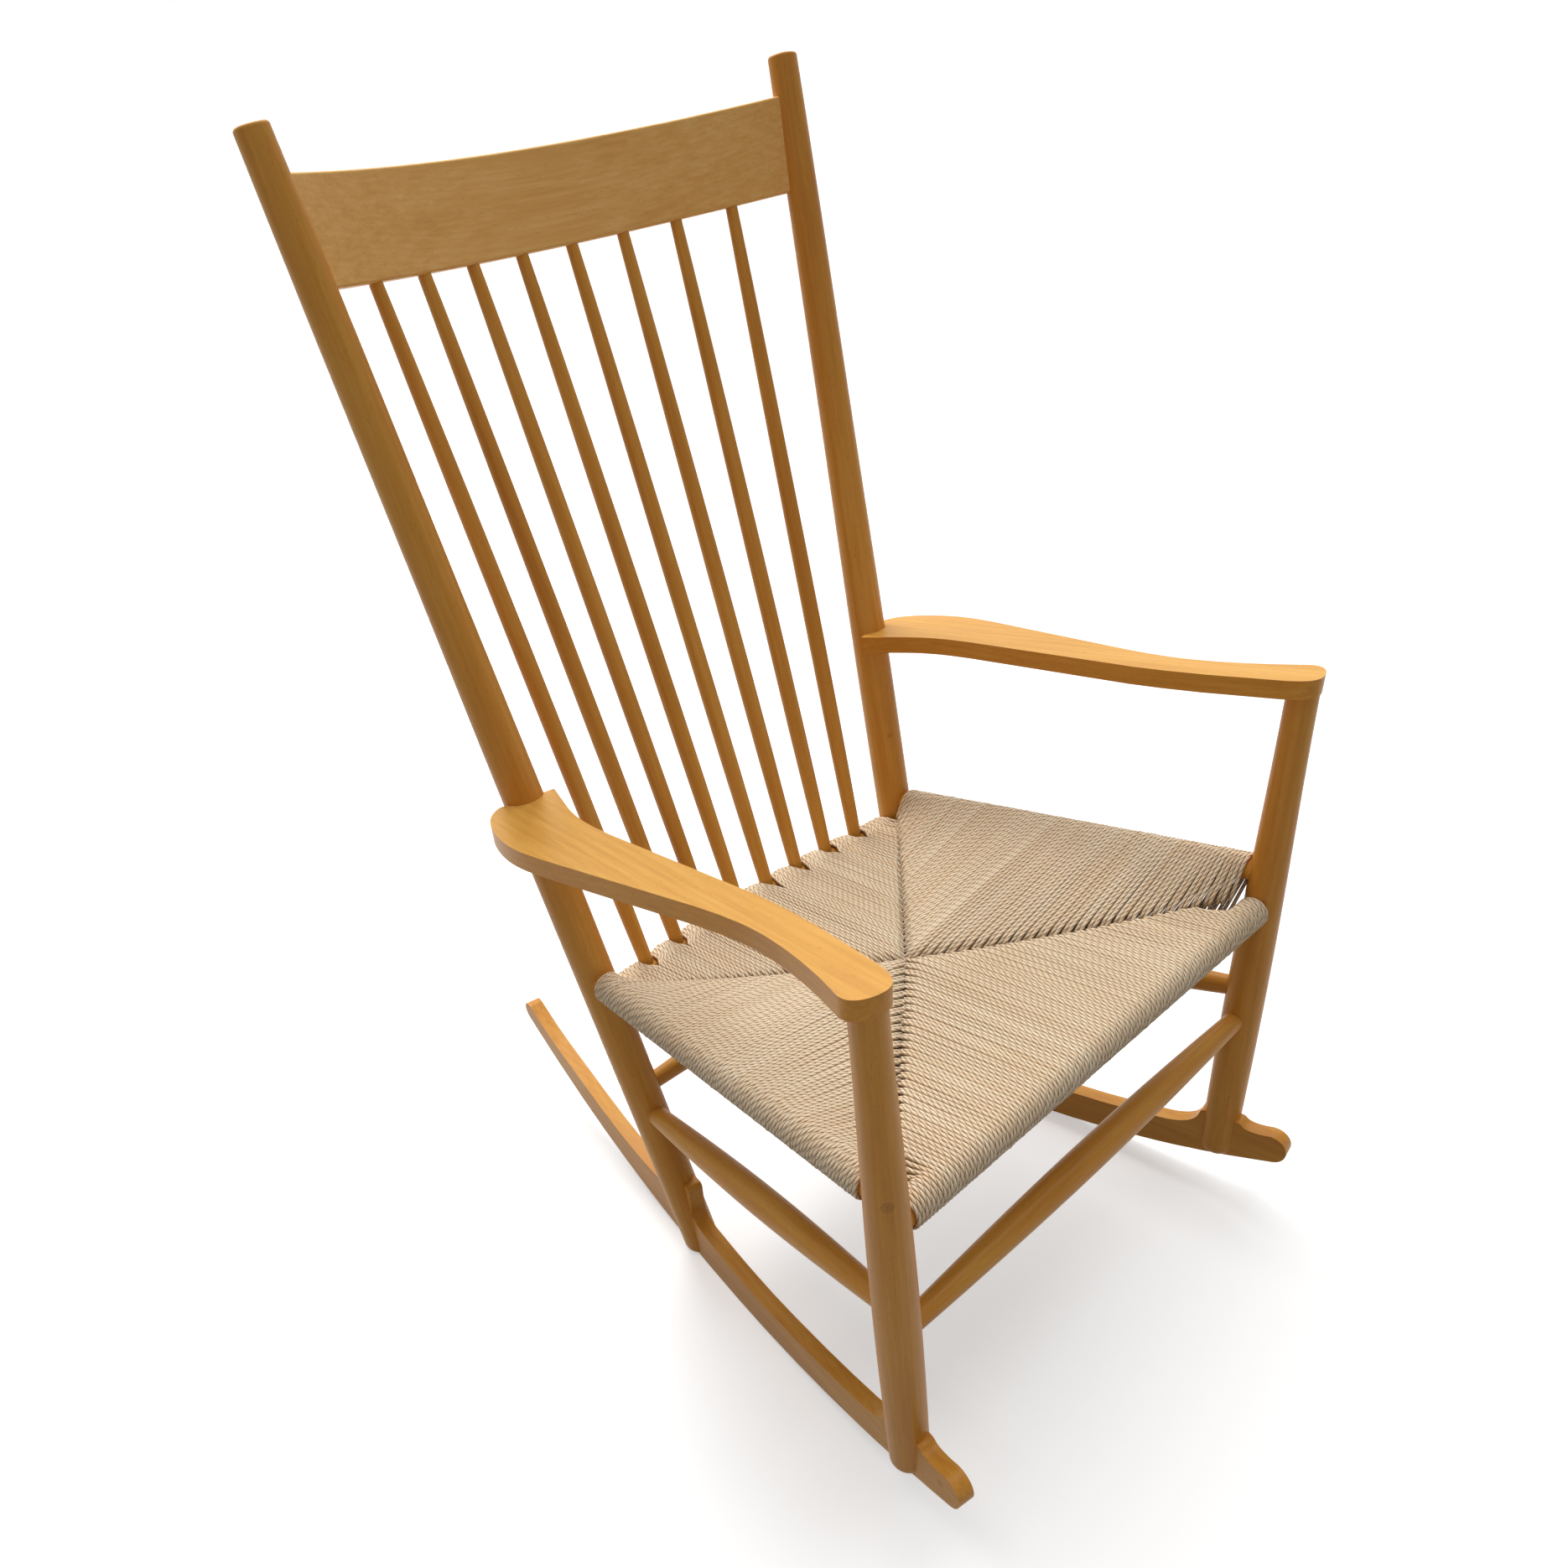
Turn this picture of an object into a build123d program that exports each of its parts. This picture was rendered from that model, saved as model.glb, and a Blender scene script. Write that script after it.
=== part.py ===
"""Rocking chair of turned and bent wood with a cord-wrapped seat.

Every stick is a solid of its own, joined as on the bench: round tenons in drilled sockets,
a bent crest rail in slots in the rear posts, slotted feet straddling the rockers.

Frame: millimetres, +Z up, the chair faces -Y and the sitter's left is +X.  The origin lies on
the floor, in the chair's middle plane, halfway between the rockers' two tips.
"""
from build123d import *
import math
import os

# ---------------------------------------------------------------- driving dimensions
# Rockers, laid out in the upright plane through a post foot and a leg foot.
# "Along" runs forward from the post foot, heights run up from the floor.
rocker_tail = 370.0           # post foot to the rear tip, along Y
rocker_nose = 74.0            # leg foot to the front tip, along Y
rocker_radius = 1100.0        # running arc
rocker_thickness = 17.0
rocker_balance_y = -32.0      # where the running arc touches the floor
rocker_corner_round = 5.0     # corners of the tab and of the horns, seen from the side
tail_height = 25.0            # depth of the rounded rear end
nose_height = 36.0            # depth of the rounded front end
# (share of the way from the post to the rear tip, depth above the running arc) of the top edge
tail_top = [(0.13, 52.0), (0.25, 45.0), (0.48, 38.0), (0.72, 32.0)]
# the same with shares of the way from the post to the leg
span_top = [(0.13, 46.5), (0.27, 42.5), (0.4, 40.5), (0.57, 39.5), (0.73, 38.5), (0.83, 38.0)]
tab_height = 100.0            # flat top of the tab in the post's slot, above the floor
tab_foot = 63.0               # where the tab's upright sides begin
tab_inset = 2.0               # how far the tab's edges lie inside the round post, fore and aft
horn_height = 100.0           # flat top of the block in the leg's slot, above the floor
horn_lap = 4.0                # how far the horns stand clear of the leg, fore and aft
horn_sweep = (-0.3, 1.0)      # direction of the top edge where it ends in the front horn
tab_sweep = (-0.6, -0.2)      # where it leaves the tab behind

# Rear posts
post_foot_x = 204.5
post_foot_z = 42.0
post_top_x = 276.4
post_rake = 258.5             # how far the top lies behind the foot
post_top_z = 1088.0
post_profile = [(0.0, 19.3), (0.3, 19.6), (0.5, 19.2), (0.65, 17.6), (0.8, 16.4), (1.0, 14.2)]
post_top_round = 3.0
foot_lift = 3.0               # feet end this far above the running arc

# Front legs
leg_foot_x = 266.3
foot_spread = 372.0           # leg foot to post foot, along Y
leg_foot_z = 45.0
leg_top_x = 294.5
leg_lean = 16.3               # how far the top lies behind the foot
leg_top_z = 597.0             # under the arm, on the leg's axis
leg_profile = [(0.0, 18.8), (0.2, 19.8), (0.45, 19.8), (0.62, 18.4), (0.8, 16.2), (0.92, 15.0), (1.0, 14.6)]
leg_tenon_radius = 9.0
leg_tenon_length = 13.0
leg_foot_round = 12.0

# Arms: flat boards, widest in front of the post, cut round it and seated on the leg's tenon
arm_thickness = 18.5
arm_rear_z = 550.0            # top face at the post's axis
# (share of the way from the leg's axis to the post's, distance outward of the line between them)
arm_outer = [(1.0, 26.5), (0.985, 38.7), (0.925, 53.4), (0.836, 59.0), (0.722, 51.2),
             (0.577, 35.9), (0.411, 18.1), (0.255, 6.5), (0.141, 9.2), (0.02, 21.1)]
arm_inner = [(0.02, -20.9), (0.141, -25.8), (0.307, -26.6), (0.494, -18.8), (0.681, -10.6),
             (0.816, -9.6), (0.913, -19.8), (0.971, -28.1)]
arm_nose = (-0.032, 0.8)
arm_dowel_radius = 4.0
arm_dowel_in_arm = 24.0
arm_dowel_in_post = 13.0

# Crest rail: a bent board let into slots in the posts, square to their rake
crest_low = 0.893             # lower edge, as a share of the post's length
crest_height = 82.0
crest_thickness = 13.0
crest_bend = 71.0             # depth of the bend between the posts
crest_slot_depth = 11.0       # how far the ends enter the posts
crest_edge_round = 2.5

# Back spindles
spindle_count = 8
spindle_foot_half = 159.5     # outermost spindle at the rear rail, from the middle
spindle_head_half = 200.8     # outermost spindle at the crest rail, from the middle
spindle_profile = [(0.0, 7.3), (0.12, 8.4), (0.32, 9.0), (0.6, 8.5), (0.85, 7.2), (1.0, 5.9)]
spindle_head_tenon_radius = 3.0
spindle_head_tenon = 14.0
spindle_foot_tenon_radius = 5.0
spindle_foot_tenon = 17.0

# Seat rails: round bars that the cord is wound on
rail_radius = 12.0
rail_tenon_radius = 7.5
rail_tenon_depth = 16.0
front_rail_z = 372.0
side_rail_front_z = 409.0
side_rail_rear_z = 351.0
rear_rail_z = 320.0
rear_rail_bend = 15.0         # the rear rail bows out behind by this much

# Stretchers: turned, with one long swell
stretcher_tenon_radius = 7.0
stretcher_tenon_depth = 15.0
front_stretcher_z = 235.0
front_stretcher_profile = [(0.0, 9.6), (0.22, 13.4), (0.5, 15.4), (0.78, 13.4), (1.0, 9.6)]
side_stretcher_front_z = 268.0
side_stretcher_rear_z = 187.0
side_stretcher_profile = [(0.0, 9.8), (0.22, 13.2), (0.5, 15.2), (0.78, 13.2), (1.0, 9.8)]
rear_stretcher_z = 214.0
rear_stretcher_profile = [(0.0, 9.0), (0.25, 11.6), (0.5, 13.0), (0.75, 11.6), (1.0, 9.0)]

# Cord seat: four wedge-shaped panels, thick at the rails and thin at the middle
cord_wrap = 3.4               # thickness of the cord on a rail
seat_center_y = -99.0
seat_center_z = 356.0         # top of the cord where the four panels meet
seat_center_thickness = 20.0
seam_gap = 0.6                # between neighbouring panels
bare_rail_front = 14.0        # unwrapped stretch of each side rail behind the front leg
tack_head_radius = 2.4
tack_head_thickness = 0.8
tack_shank_radius = 0.9
tack_length = 8.0
tack_spacing = 120.0
tack_tilt = 22.0              # degrees below level, on the rails' inner side

# Clearances
socket_gap = 0.1              # round a tenon and past its end
cope_gap = 0.2                # between a shoulder and the round stick that it is cut to
slot_gap = 0.12               # on each face of a rocker in its foot, and round the crest's ends
cord_gap = 0.3                # between the cord and the wood

# ---------------------------------------------------------------- places worked out from them
post_foot_y = (rocker_nose + foot_spread - rocker_tail) / 2
leg_foot_y = post_foot_y - foot_spread
overrun = 60.0                # extra length of a blank that is trimmed afterwards


def post_point(side, share):
    """Point on a rear post's axis; share runs from 0 at the foot to 1 at the top."""
    x = post_foot_x + share * (post_top_x - post_foot_x)
    y = post_foot_y + share * post_rake
    z = post_foot_z + share * (post_top_z - post_foot_z)
    return Vector(side * x, y, z)


def leg_point(side, share):
    """Point on a front leg's axis; share runs from 0 at the foot to 1 at the arm."""
    x = leg_foot_x + share * (leg_top_x - leg_foot_x)
    y = leg_foot_y + share * leg_lean
    z = leg_foot_z + share * (leg_top_z - leg_foot_z)
    return Vector(side * x, y, z)


def post_at(side, z):
    return post_point(side, (z - post_foot_z) / (post_top_z - post_foot_z))


def leg_at(side, z):
    return leg_point(side, (z - leg_foot_z) / (leg_top_z - leg_foot_z))


def axis_plane(start, end):
    """Plane at start whose normal points at end."""
    return Plane(origin=start, z_dir=(end - start).normalized())


def rod(start, end, radius):
    """Round bar between two points."""
    length = (end - start).length
    bar = Cylinder(radius, length, align=(Align.CENTER, Align.CENTER, Align.MIN))
    return axis_plane(start, end).location * bar


def quarter(center, radius, first, last):
    """Quarter circle about center between two directions, in degrees."""
    angles = (first, (first + last) / 2, last)
    points = [(center[0] + radius * math.cos(math.radians(a)),
               center[1] + radius * math.sin(math.radians(a))) for a in angles]
    return ThreePointArc(*points)


def turned(start, end, profile, grow=0.0, toe=0.0, crown=0.0):
    """Turned stick: (share of length, radius) pairs joined by a smooth curve.

    toe and crown are the radii of the rounding at the first and the last end.
    """
    length = (end - start).length
    curve = [(radius + grow, share * length) for share, radius in profile]
    first_radius = curve[0][0]
    last_radius = curve[-1][0]
    curve[0] = (first_radius, toe)
    curve[-1] = (last_radius, length - crown)
    edges = [Line((0, 0), (first_radius - toe, 0))]
    if toe:
        edges.append(quarter((first_radius - toe, toe), toe, -90, 0))
    edges.append(Spline(*curve))
    if crown:
        edges.append(quarter((last_radius - crown, length - crown), crown, 0, 90))
    edges += [Line((last_radius - crown, length), (0, length)), Line((0, length), (0, 0))]
    face = Plane.XZ * Face(Wire(edges))
    return axis_plane(start, end).location * revolve(face, Axis.Z)


def toward(start, end, distance):
    """Point that far from start on the way to end."""
    return start + (end - start).normalized() * distance


def radius_at(profile, share):
    """Radius on a profile, straight between its points."""
    for (low, low_radius), (high, high_radius) in zip(profile, profile[1:]):
        if share <= high:
            return low_radius + (high_radius - low_radius) * (share - low) / (high - low)
    return profile[-1][1]


# ---------------------------------------------------------------- hosts: posts and legs uncut
def post_blank(side, grow=0.0):
    foot = toward(post_point(side, 0), post_point(side, 1), -overrun)
    length = (post_point(side, 1) - post_point(side, 0)).length
    profile = [(0.0, post_profile[0][1])]
    profile += [((overrun + share * length) / (overrun + length), radius) for share, radius in post_profile]
    return turned(foot, post_point(side, 1), profile, grow, crown=post_top_round)


def leg_blank(side, grow=0.0):
    """Leg with its top run on into the arm, where it is trimmed."""
    foot, top = leg_point(side, 0), leg_point(side, 1)
    blank = turned(foot, top, leg_profile, grow, toe=leg_foot_round)
    return blank + rod(top, toward(top, foot, -arm_thickness / 2), leg_profile[-1][1] + grow)


def post_radius(z):
    return radius_at(post_profile, (z - post_foot_z) / (post_top_z - post_foot_z))


def leg_radius(z):
    return radius_at(leg_profile, (z - leg_foot_z) / (leg_top_z - leg_foot_z))


def tenon(seat, inner, host_radius, depth, radius, grow=0.0):
    """Round tenon reaching depth below a host's surface; seat lies on the host's axis."""
    start = toward(seat, inner, host_radius - depth - grow)
    return rod(start, toward(seat, inner, host_radius + radius), radius + grow)


# ---------------------------------------------------------------- rockers
def rocker_plane(side):
    """Upright plane through both feet: x runs forward from the post foot, y runs up."""
    foot = Vector(side * post_foot_x, post_foot_y, 0)
    ahead = (Vector(side * leg_foot_x, leg_foot_y, 0) - foot).normalized()
    return Plane(origin=foot, x_dir=ahead, z_dir=ahead.cross(Vector(0, 0, 1)))


board_length = math.hypot(foot_spread, leg_foot_x - post_foot_x)
along_per_y = board_length / foot_spread
balance_along = (post_foot_y - rocker_balance_y) * along_per_y
tail_along = -rocker_tail * along_per_y
nose_along = board_length + rocker_nose * along_per_y


def sole(along):
    """Height of the running arc above the floor."""
    return rocker_radius - math.sqrt(rocker_radius ** 2 - (along - balance_along) ** 2)


def rounded_end(tip_along, depth, outward):
    """Half-round end of the board: its start on the running arc, its far point and its crown."""
    arc_center = Vector(balance_along, rocker_radius)
    middle_along = tip_along - outward * depth / 2
    slope = math.asin((middle_along - balance_along) / (rocker_radius - depth / 2))
    forward = Vector(math.cos(slope), math.sin(slope))
    upward = Vector(-math.sin(slope), math.cos(slope))
    start = arc_center - upward * rocker_radius
    crown = arc_center - upward * (rocker_radius - depth)
    return start, (start + crown) / 2 + forward * outward * depth / 2, crown, forward


def corner_pole(upright, near, far):
    """Where the line through two points meets the upright line at that distance along."""
    slope = (near[1] - far[1]) / (near[0] - far[0])
    return upright, near[1] + slope * (upright - near[0])


def rocker_outline():
    post_half = radius_at(post_profile, 0.0) - tab_inset
    leg_half = radius_at(leg_profile, 0.0) + horn_lap
    tail_sole, tail_tip, tail_crown, tail_way = rounded_end(tail_along, tail_height, -1)
    nose_sole, nose_tip, nose_crown, nose_way = rounded_end(nose_along, nose_height, 1)
    tab_rear = (-post_half, tab_height)
    tab_front = (post_half, tab_height)
    heel = (-post_half, tab_foot)
    toe = (post_half, tab_foot)
    horn_rear = (board_length - leg_half, horn_height)
    horn_front = (board_length + leg_half, horn_height)
    tail_edge = [(share * tail_along, sole(share * tail_along) + depth) for share, depth in tail_top]
    span_edge = [(share * board_length, sole(share * board_length) + depth) for share, depth in span_top]
    return Wire([
        ThreePointArc(tail_sole, (balance_along, 0), nose_sole),
        ThreePointArc(nose_sole, nose_tip, nose_crown),
        Spline(nose_crown, horn_front, tangents=[-nose_way, horn_sweep]),
        Line(horn_front, horn_rear),
        Bezier(horn_rear, corner_pole(horn_rear[0], *span_edge[:-3:-1]), span_edge[-1]),
        Spline(*span_edge),
        Bezier(span_edge[0], corner_pole(post_half, *span_edge[:2]), toe),
        Line(toe, tab_front),
        Line(tab_front, tab_rear),
        Line(tab_rear, heel),
        Spline(heel, *tail_edge, tail_crown, tangents=[tab_sweep, -tail_way]),
        ThreePointArc(tail_crown, tail_tip, tail_sole),
    ])


def rocker(side):
    """Board in its upright plane, with the corners of the tab and the horns rounded."""
    face = Face(rocker_outline())
    corners = [corner for corner in face.vertices() if corner.Y > min(tab_height, horn_height) - socket_gap]
    face = rocker_plane(side) * face.fillet_2d(rocker_corner_round, corners)
    return extrude(face, rocker_thickness / 2, both=True)


def foot_slot(side, along, top):
    """Slot through a foot, open below, for the rocker's block."""
    slot = Box(overrun * 2, top + overrun + slot_gap, rocker_thickness + 2 * slot_gap,
               align=(Align.CENTER, Align.MIN, Align.CENTER))
    plane = rocker_plane(side)
    return plane.location * Pos(along, -overrun, 0) * slot


def above_sole(side):
    """Everything more than foot_lift above the running arc, across one rocker."""
    disc = Cylinder(rocker_radius - foot_lift, rocker_radius)
    return rocker_plane(side).location * Pos(balance_along, rocker_radius, 0) * disc


# ---------------------------------------------------------------- arms
def arm_point(side, share, outward):
    """Point of the arm's plan outline."""
    leg, post = leg_point(side, 1), post_at(side, arm_rear_z)
    return leg.X + share * (post.X - leg.X) + side * outward, leg.Y + share * (post.Y - leg.Y)


def arm_top(y):
    """Height of the arm's straight top face."""
    leg, post = leg_point(1, 1), post_at(1, arm_rear_z)
    front_z = leg_top_z + arm_thickness
    return front_z + (arm_rear_z - front_z) * (y - leg.Y) / (post.Y - leg.Y)


def arm_blank(side):
    outer = Spline(*[arm_point(side, *place) for place in arm_outer])
    inner = Spline(*[arm_point(side, *place) for place in arm_inner])
    nose = Spline(outer @ 1, arm_point(side, *arm_nose), inner @ 0, tangents=[outer % 1, inner % 0])
    plan = extrude(Face(Wire([outer, nose, inner, Line(inner @ 1, outer @ 0)])), post_top_z, dir=(0, 0, 1))
    ends = (leg_point(1, 1).Y - overrun, post_at(1, arm_rear_z).Y + overrun)
    upper = [(y, arm_top(y)) for y in ends]
    lower = [(y, arm_top(y) - arm_thickness) for y in ends]
    profile = Wire.make_polygon([Vector(*p) for p in upper + lower[::-1]])
    return plan & extrude(Plane.YZ * Face(profile), post_top_z, both=True)


def arm_dowel(side, grow=0.0):
    """Dowel in the middle of the arm's thickness, parallel to its faces, half in the post."""
    seat = post_at(side, arm_rear_z - arm_thickness / 2)
    face_y = seat.Y - post_radius(seat.Z)
    ends = (face_y - arm_dowel_in_arm - grow, face_y + arm_dowel_in_post + grow)
    start, end = [Vector(seat.X, y, arm_top(y) - arm_thickness / 2) for y in ends]
    return rod(start, end, arm_dowel_radius + grow)


def leg_tenon(side, grow=0.0):
    top = leg_point(side, 1)
    beyond = toward(top, leg_point(side, 0), -(leg_tenon_length + grow))
    return rod(toward(top, leg_point(side, 0), leg_tenon_radius), beyond, leg_tenon_radius + grow)


# ---------------------------------------------------------------- crest rail
def back_plane():
    """Plane across the posts under the crest: x to the left, y rearward, z up the rake."""
    low = post_point(1, crest_low)
    rake = Vector(0, post_rake, post_top_z - post_foot_z).normalized()
    return Plane(origin=(0, low.Y, low.Z), x_dir=(1, 0, 0), z_dir=rake)


def bend_radius(half_chord, bend):
    return (half_chord ** 2 + bend ** 2) / (2 * bend)


def crest_curve(x):
    """How far the crest's middle line lies behind the posts at x from the middle."""
    radius = bend_radius(post_point(1, crest_low).X, crest_bend)
    return crest_bend - radius + math.sqrt(radius ** 2 - x ** 2)


def crest_blank(grow=0.0):
    """Ring segment of rounded section, its ends inside the posts."""
    low_half = post_point(1, crest_low).X
    radius = bend_radius(low_half, crest_bend)
    span = math.hypot(post_rake, post_top_z - post_foot_z)
    half = low_half + (post_top_x - post_foot_x) / span * crest_height / 2
    reach = half - radius_at(post_profile, crest_low) + crest_slot_depth + grow
    sweep = math.degrees(math.asin(reach / radius))
    section = RectangleRounded(crest_thickness + 2 * grow, crest_height + 2 * grow, crest_edge_round + grow)
    band = revolve(Plane.XZ * Pos(radius, crest_height / 2) * section, Axis.Z, 2 * sweep)
    return back_plane().location * Pos(0, crest_bend - radius, 0) * Rot(0, 0, 90 - sweep) * band


# ---------------------------------------------------------------- rear rail and spindles
def rear_rail_curve(x):
    """How far the rear rail's axis lies behind the posts at x from the middle."""
    radius = bend_radius(post_at(1, rear_rail_z).X, rear_rail_bend)
    return rear_rail_bend - radius + math.sqrt(radius ** 2 - x ** 2)


def bowed_bar(half, bar_radius):
    """Part of the bowed rear rail within half of the middle, as a ring segment."""
    radius = bend_radius(post_at(1, rear_rail_z).X, rear_rail_bend)
    seat_y = post_at(1, rear_rail_z).Y
    middle = Vector(0, seat_y + rear_rail_bend - radius, rear_rail_z)
    sweep = math.degrees(math.asin(half / radius))
    section = Pos(radius, 0, 0) * (Plane.XZ * Circle(bar_radius))
    ring = revolve(section, Axis.Z, 2 * sweep)
    return Pos(*middle) * Rot(0, 0, 90 - sweep) * ring


def spindle_ends(number):
    """Points on the rear rail's axis and on the crest's lower edge, middle line."""
    share = 2 * number / (spindle_count - 1) - 1
    foot_x = share * spindle_foot_half
    foot = Vector(foot_x, post_at(1, rear_rail_z).Y + rear_rail_curve(foot_x), rear_rail_z)
    head_x = share * spindle_head_half
    head = back_plane().from_local_coords(Vector(head_x, crest_curve(head_x), 0))
    return foot, head


def spindle_body(number):
    """Turned spindle that starts inside the rear rail, where it is trimmed to the rail's round."""
    foot, head = spindle_ends(number)
    return turned(toward(foot, head, rail_radius / 2), head, spindle_profile)


def spindle_passage(number):
    """Clear way for a spindle's foot through the cord."""
    foot, head = spindle_ends(number)
    return rod(foot, toward(foot, head, wrap_radius * 2), spindle_profile[1][1] + cord_gap)


def spindle_tenons(number, grow=0.0):
    foot, head = spindle_ends(number)
    reach = rail_radius - spindle_foot_tenon - grow
    low = rod(toward(foot, head, reach), toward(foot, head, rail_radius + 1.0),
              spindle_foot_tenon_radius + grow)
    high = rod(toward(head, foot, 1.0), toward(head, foot, -spindle_head_tenon - grow),
               spindle_head_tenon_radius + grow)
    return low, high


# ---------------------------------------------------------------- rails and stretchers
def joined(bar, tenons, hosts):
    """Bar cut to the round hosts, with its tenons."""
    return bar - hosts + tenons


def straight_rail(start, end, grow=0.0):
    return rod(start, end, rail_radius + grow)


side_rail_ends = {side: (leg_at(side, side_rail_front_z), post_at(side, side_rail_rear_z))
                  for side in (1, -1)}
front_rail_ends = (leg_at(-1, front_rail_z), leg_at(1, front_rail_z))
rear_rail_ends = (post_at(-1, rear_rail_z), post_at(1, rear_rail_z))


def tenon_pair(ends, radii, depth, radius, grow=0.0):
    start, end = ends
    return (tenon(start, end, radii[0], depth, radius, grow),
            tenon(end, start, radii[1], depth, radius, grow))


def stretcher(ends, profile):
    return turned(ends[0], ends[1], profile)


stretchers = {
    "stretcher_front": (
        (leg_at(-1, front_stretcher_z), leg_at(1, front_stretcher_z)),
        (leg_radius(front_stretcher_z), leg_radius(front_stretcher_z)), front_stretcher_profile),
    "stretcher_rear": (
        (post_at(-1, rear_stretcher_z), post_at(1, rear_stretcher_z)),
        (post_radius(rear_stretcher_z), post_radius(rear_stretcher_z)), rear_stretcher_profile),
}
rails = {
    "seat_rail_front": (front_rail_ends, (leg_radius(front_rail_z),) * 2),
    "seat_rail_rear": (rear_rail_ends, (post_radius(rear_rail_z),) * 2),
}
for side, hand in ((1, "left"), (-1, "right")):
    stretchers["stretcher_" + hand] = (
        (leg_at(side, side_stretcher_front_z), post_at(side, side_stretcher_rear_z)),
        (leg_radius(side_stretcher_front_z), post_radius(side_stretcher_rear_z)),
        side_stretcher_profile)
    rails["seat_rail_" + hand] = (
        side_rail_ends[side], (leg_radius(side_rail_front_z), post_radius(side_rail_rear_z)))


# ---------------------------------------------------------------- cord seat
wrap_radius = rail_radius + cord_wrap


def wedge(rim, start_z, end_z):
    """Slab over the plan outline rim + seat centre, thick at the rail and thin at the middle."""
    center = Vector(0, seat_center_y, 0)
    start, end = rim[0], rim[-1]
    plan = Face(Wire.make_polygon([Vector(p.X, p.Y, 0) for p in rim] + [center]))
    slab = extrude(offset(plan, -seam_gap / 2, kind=Kind.INTERSECTION), arm_rear_z, dir=(0, 0, 1))
    for sign, middle_z in ((1, seat_center_z), (-1, seat_center_z - seat_center_thickness)):
        a = Vector(start.X, start.Y, start_z + sign * wrap_radius)
        b = Vector(end.X, end.Y, end_z + sign * wrap_radius)
        c = Vector(0, seat_center_y, middle_z)
        normal = (b - a).cross(c - a)
        normal = normal if normal.Z > 0 else -normal
        keep = Keep.BOTTOM if sign > 0 else Keep.TOP
        slab = split(slab, bisect_by=Plane(origin=a, z_dir=normal), keep=keep)
    return slab


def straight_panel(start, end):
    """Panel wound on a straight rail between two points of its axis."""
    bar = rod(start, end, wrap_radius)
    return wedge([start, end], start.Z, end.Z) + bar


def rear_panel(half):
    seat_y = post_at(1, rear_rail_z).Y
    rim = [Vector(x, seat_y + rear_rail_curve(x), rear_rail_z) for x in (-half, 0, half)]
    return wedge(rim, rear_rail_z, rear_rail_z) + bowed_bar(half, wrap_radius)


def tack(point, outward, grow=0.0):
    """Flat-headed tack driven into a rail; point lies on the rail's surface, outward off it."""
    sunk = point - outward * (tack_head_thickness + socket_gap)
    head = rod(sunk - outward * grow, point + outward * grow, tack_head_radius + grow)
    shank = rod(sunk - outward * (tack_length + grow), sunk, tack_shank_radius + grow)
    return head + shank


def tack_places():
    """Points and outward directions of the tacks, three along each straight rail's inner side."""
    places = []
    for name in ("seat_rail_front", "seat_rail_left", "seat_rail_right"):
        start, end = rails[name][0]
        middle = (start + end) / 2
        along = (end - start).normalized()
        level = Vector(0, 0, 1).cross(along).normalized()
        level = level if level.dot(Vector(0, seat_center_y, middle.Z) - middle) > 0 else -level
        upward = along.cross(level)
        upward = upward if upward.Z > 0 else -upward
        tilt = math.radians(tack_tilt)
        outward = level * math.cos(tilt) - upward * math.sin(tilt)
        for step in (-1, 0, 1):
            places.append((name, middle + along * step * tack_spacing + outward * rail_radius, outward))
    return places


# ---------------------------------------------------------------- the pieces
nodes = {}
cuts = {}


def socket(host, *tools):
    """Note what is to be taken out of a host."""
    cuts.setdefault(host, []).extend(tools)


spindles = range(spindle_count)
heads = [spindle_tenons(n, socket_gap)[1] for n in spindles]
nodes["crest_rail"] = crest_blank()
socket("crest_rail", *heads)
for number in spindles:
    low, high = spindle_tenons(number)
    rail_zone = bowed_bar(post_at(1, rear_rail_z).X, rail_radius + cope_gap)
    body = spindle_body(number) - rail_zone - crest_blank(cope_gap)
    nodes["back_spindle_%d" % (number + 1)] = body + [low, high]
    socket("seat_rail_rear", spindle_tenons(number, socket_gap)[0])

for name, (ends, radii) in rails.items():
    hosts = ["rear_post", "rear_post"] if name.endswith("rear") else ["front_leg", "front_leg"]
    if name.endswith(("left", "right")):
        hosts = ["front_leg", "rear_post"]
    sides = [math.copysign(1, p.X) for p in ends]
    bar = bowed_bar(ends[1].X, rail_radius) if name.endswith("rear") else straight_rail(*ends)
    blanks = [(post_blank if host == "rear_post" else leg_blank)(s, cope_gap)
              for host, s in zip(hosts, sides)]
    nodes[name] = joined(bar, tenon_pair(ends, radii, rail_tenon_depth, rail_tenon_radius), blanks)
    holes = tenon_pair(ends, radii, rail_tenon_depth, rail_tenon_radius, socket_gap)
    for host, s, hole in zip(hosts, sides, holes):
        socket(host + ("_left" if s > 0 else "_right"), hole)

for name, (ends, radii, profile) in stretchers.items():
    hosts = ["rear_post", "rear_post"] if name.endswith("rear") else ["front_leg", "front_leg"]
    if name.endswith(("left", "right")):
        hosts = ["front_leg", "rear_post"]
    sides = [math.copysign(1, p.X) for p in ends]
    blanks = [(post_blank if host == "rear_post" else leg_blank)(s, cope_gap)
              for host, s in zip(hosts, sides)]
    size = stretcher_tenon_depth, stretcher_tenon_radius
    nodes[name] = joined(stretcher(ends, profile), tenon_pair(ends, radii, *size), blanks)
    for host, s, hole in zip(hosts, sides, tenon_pair(ends, radii, *size, socket_gap)):
        socket(host + ("_left" if s > 0 else "_right"), hole)

tacks = []
for name, point, outward in tack_places():
    tacks.append(tack(point, outward))
    socket(name, tack(point, outward, socket_gap))
nodes["cord_tacks"] = Compound(children=tacks)

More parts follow.
